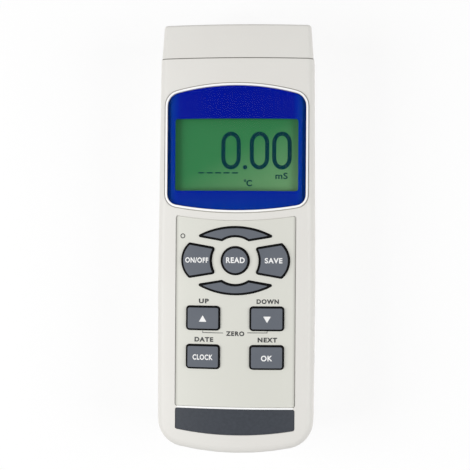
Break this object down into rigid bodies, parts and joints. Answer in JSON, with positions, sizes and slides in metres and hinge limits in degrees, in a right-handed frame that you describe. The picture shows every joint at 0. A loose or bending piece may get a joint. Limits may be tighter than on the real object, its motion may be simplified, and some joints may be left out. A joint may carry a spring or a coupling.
{
  "type": "handheld water quality meter",
  "caption": "Handheld battery-powered water conductivity meter with a framed display, rubber keys, a probe socket, side jacks, a card slot and a folding tilt stand.",
  "frame": {"origin": "middle of the footprint, on the plane that the back rests on", "axes": "+X across the meter to its right side, +Y along it from the foot to the probe end, +Z out of the front face"},
  "size_m": [0.068, 0.1822, 0.0447],
  "materials": {
    "abs_shell": "satin",
    "lens": "polished",
    "blue_print": "gloss",
    "panel_print": "satin",
    "bar_print": "satin",
    "key_rubber": "matte",
    "web_rubber": "matte",
    "lcd": "polished",
    "black_plastic": "satin",
    "diffuser": "satin",
    "circuit_board": "satin",
    "plated_steel": "satin",
    "zinc_screw": "satin",
    "brass": "satin",
    "wire": "satin",
    "cell_sleeve": "gloss",
    "reset_plastic": "satin",
    "capacitor_sleeve": "gloss"
  },
  "bodies": {
    "housing": {"front_shell": "abs_shell", "rear_shell": "abs_shell", "end_cap": "abs_shell", "window_lens": "lens", "window_border": "blue_print", "key_panel": "panel_print", "name_bar": "bar_print", "keypad_web": "web_rubber", "lcd_glass": "lcd", "lcd_frame": "black_plastic", "backlight": "diffuser", "contact_strips": "web_rubber", "main_board": "circuit_board", "main_chips": "black_plastic", "buzzer": "black_plastic", "crystal": "plated_steel", "main_board_screws": "zinc_screw", "card_socket": "plated_steel", "input_board": "circuit_board", "input_chips": "black_plastic", "capacitors": "capacitor_sleeve", "input_board_screws": "zinc_screw", "board_connector": "black_plastic", "power_jack": "black_plastic", "power_jack_pin": "plated_steel", "reset_switch": "black_plastic", "serial_jack": "black_plastic", "probe_socket_shell": "plated_steel", "probe_socket_insert": "black_plastic", "probe_socket_contacts": "brass", "probe_socket_nut": "plated_steel", "probe_leads": "wire", "battery_leads": "wire", "cell_1": "cell_sleeve", "cell_2": "cell_sleeve", "cell_3": "cell_sleeve", "cell_4": "cell_sleeve", "cell_5": "cell_sleeve", "cell_6": "cell_sleeve", "contact_plates": "plated_steel", "contact_springs": "plated_steel", "case_screws": "zinc_screw", "tripod_insert": "brass"},
    "hold_key": {"hold_key": "key_rubber"},
    "power_key": {"power_key": "key_rubber"},
    "record_key": {"record_key": "key_rubber"},
    "upper_key": {"upper_key": "key_rubber"},
    "lower_key": {"lower_key": "key_rubber"},
    "up_key": {"up_key": "key_rubber"},
    "down_key": {"down_key": "key_rubber"},
    "time_key": {"time_key": "key_rubber"},
    "enter_key": {"enter_key": "key_rubber"},
    "reset_button": {"reset_button": "reset_plastic"},
    "battery_cover": {"battery_cover": "abs_shell", "cover_screws": "zinc_screw"},
    "tilt_stand": {"tilt_stand": "abs_shell"}
  },
  "joints": [
    {"name": "hold_press", "type": "slide", "parent": "housing", "child": "hold_key", "axis": [0, 0, -1], "range_m": [0, 0.001], "stiffness_N_per_m": 1500},
    {"name": "power_press", "type": "slide", "parent": "housing", "child": "power_key", "axis": [0, 0, -1], "range_m": [0, 0.001], "stiffness_N_per_m": 1500},
    {"name": "record_press", "type": "slide", "parent": "housing", "child": "record_key", "axis": [0, 0, -1], "range_m": [0, 0.001], "stiffness_N_per_m": 1500},
    {"name": "upper_press", "type": "slide", "parent": "housing", "child": "upper_key", "axis": [0, 0, -1], "range_m": [0, 0.001], "stiffness_N_per_m": 1500},
    {"name": "lower_press", "type": "slide", "parent": "housing", "child": "lower_key", "axis": [0, 0, -1], "range_m": [0, 0.001], "stiffness_N_per_m": 1500},
    {"name": "up_press", "type": "slide", "parent": "housing", "child": "up_key", "axis": [0, 0, -1], "range_m": [0, 0.001], "stiffness_N_per_m": 1500},
    {"name": "down_press", "type": "slide", "parent": "housing", "child": "down_key", "axis": [0, 0, -1], "range_m": [0, 0.001], "stiffness_N_per_m": 1500},
    {"name": "time_press", "type": "slide", "parent": "housing", "child": "time_key", "axis": [0, 0, -1], "range_m": [0, 0.001], "stiffness_N_per_m": 1500},
    {"name": "enter_press", "type": "slide", "parent": "housing", "child": "enter_key", "axis": [0, 0, -1], "range_m": [0, 0.001], "stiffness_N_per_m": 1500},
    {"name": "reset_press", "type": "slide", "parent": "housing", "child": "reset_button", "axis": [-1, 0, 0], "range_m": [0, 0.0005], "stiffness_N_per_m": 1500},
    {"name": "cover_lift", "type": "slide", "parent": "housing", "child": "battery_cover", "axis": [0, 0, -1], "range_m": [0, 0.02]},
    {"name": "stand_swing", "type": "hinge", "parent": "housing", "child": "tilt_stand", "pos_m": [0, 0.068, 0.00195], "axis": [1, 0, 0], "range_deg": [0, 60]}
  ]
}
